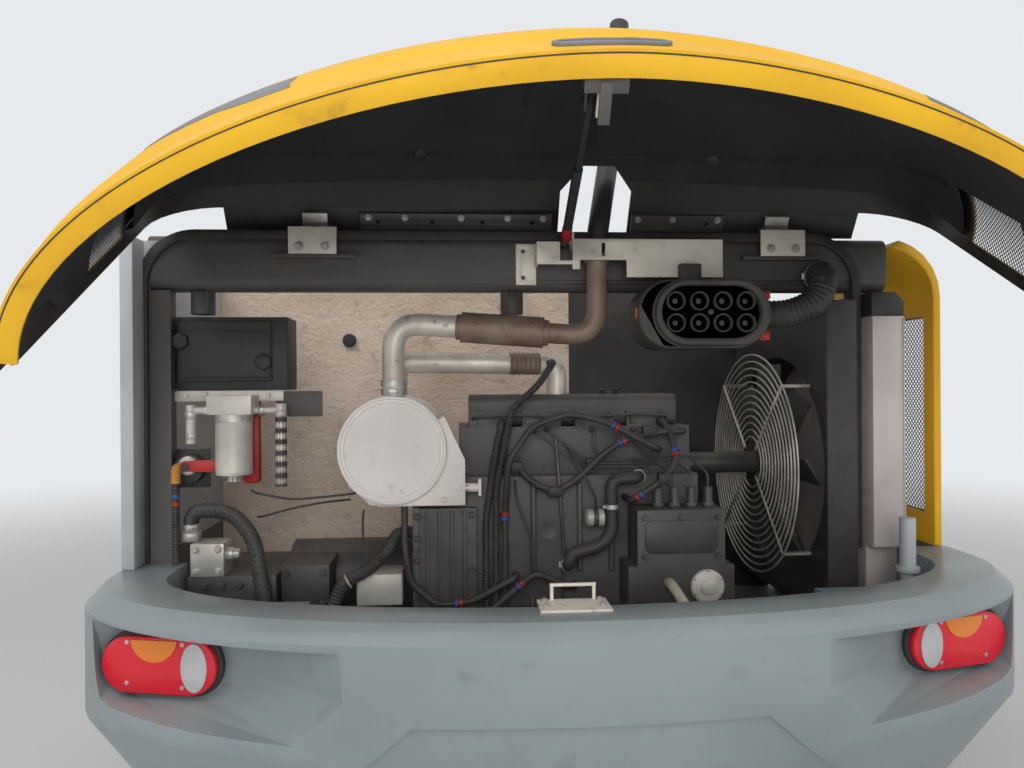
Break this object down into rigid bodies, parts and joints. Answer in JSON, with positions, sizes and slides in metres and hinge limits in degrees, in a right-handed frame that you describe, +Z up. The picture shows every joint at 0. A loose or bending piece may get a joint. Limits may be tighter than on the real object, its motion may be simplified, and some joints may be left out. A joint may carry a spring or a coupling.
{
  "type": "engine bay tail section of a wheeled excavator",
  "caption": "Rear engine bay of a wheeled excavator's upper structure: curved counterweight with tail lamps, lifting hood on hinges with a stay, engine, fan, radiator and exhaust.",
  "frame": {"origin": "centre of the four-bolt pattern on the frame's front mounting flange, on its front face", "axes": "+Z up, +Y towards the machine's front and out of the flange, +X to the right as seen from behind"},
  "size_m": [2.31, 1.7847, 2.2098],
  "materials": {
    "weight_paint": "semi-gloss, dusty",
    "frame_black": "satin",
    "post_grey": "satin",
    "hood_yellow": "gloss",
    "seal_rubber": "matt",
    "foil": "crinkled foil",
    "lens_red": "ribbed lens",
    "foam": "matt",
    "grille_black": "satin",
    "zinc": "zinc plated",
    "stay_black": "satin",
    "engine_paint": "painted, oily",
    "pump_black": "satin",
    "fan_plastic": "matt",
    "guard_wire": "satin",
    "shroud_plastic": "matt",
    "radiator_metal": "bare",
    "silencer_white": "heat resisting, matt",
    "exhaust_metal": "heat browned",
    "stack_black": "satin",
    "filter_plastic": "matt",
    "hose_rubber": "matt",
    "bowl_metal": "bare",
    "isolator_black": "matt",
    "grip_grey": "satin",
    "fitting_steel": "zinc plated"
  },
  "bodies": {
    "tail": {"counterweight": "weight_paint", "tail_frame": "frame_black", "left_post": "post_grey", "left_side_wall": "post_grey", "right_side_panel": "hood_yellow", "right_side_grille": "grille_black", "bay_frame": "frame_black", "bay_seal": "seal_rubber", "firewall": "foil", "left_lamp_seat": "seal_rubber", "right_lamp_seat": "seal_rubber", "left_tail_lamp": "lens_red", "right_tail_lamp": "lens_red", "hood_hinge_bases": "frame_black", "latch_striker": "zinc", "stay_bracket": "zinc", "engine_block": "engine_paint", "cylinder_head": "engine_paint", "flywheel_housing": "engine_paint", "injection_pump": "pump_black", "injection_lines": "fitting_steel", "fan_drive": "pump_black", "fan_guard": "guard_wire", "fan_shroud": "shroud_plastic", "radiator": "radiator_metal", "radiator_top_tank": "shroud_plastic", "silencer": "silencer_white", "silencer_bracket": "silencer_white", "exhaust_pipes": "exhaust_metal", "exhaust_sleeve": "exhaust_metal", "exhaust_stack": "stack_black", "air_precleaner": "filter_plastic", "cyclone_tubes": "filter_plastic", "intake_hose": "hose_rubber", "relay_box": "filter_plastic", "fuel_filter": "bowl_metal", "battery_isolator": "isolator_black", "hydraulic_pump": "pump_black", "hydraulic_block": "fitting_steel", "pressure_hose": "hose_rubber", "return_hose": "hose_rubber", "steering_pump": "bowl_metal", "drain_pipe": "fitting_steel", "overflow_pipe": "post_grey", "wiring_conduits": "hose_rubber", "engine_harness": "hose_rubber", "coolant_hose": "hose_rubber"},
    "hood": {"hood_shell": "hood_yellow", "hood_lining": "foam", "hood_side_grilles": "grille_black", "hood_grip": "grip_grey", "hood_front_bars": "frame_black", "hood_hinge_leaves": "zinc", "hood_latch": "zinc", "stay_head_bracket": "stay_black"},
    "stay_tube": {"stay_tube": "stay_black"},
    "stay_rod": {"stay_rod": "stay_black"},
    "fan": {"fan": "fan_plastic"}
  },
  "joints": [
    {"name": "hood_hinge", "type": "hinge", "parent": "tail", "child": "hood", "pos_m": [0, -0.709, 1.255], "axis": [1, 0, 0], "range_deg": [0, 58]},
    {"name": "stay_pivot", "type": "hinge", "parent": "tail", "child": "stay_tube", "pos_m": [0.032, -0.773, 1.206], "axis": [1, 0, 0], "range_deg": [0, 66]},
    {"name": "stay_slide", "type": "slide", "parent": "stay_tube", "child": "stay_rod", "axis": [0, -0.8674, 0.4976], "range_m": [-0.0445, 0]},
    {"name": "fan_spin", "type": "hinge", "parent": "tail", "child": "fan", "pos_m": [0.742, -0.43, 0.565], "axis": [1, 0, 0], "continuous": true}
  ],
  "couplings": [
    {"joint": "stay_pivot", "follows": "hood_hinge", "ratio": 1.1341},
    {"joint": "stay_slide", "follows": "hood_hinge", "m_per_rad": -0.043712}
  ]
}
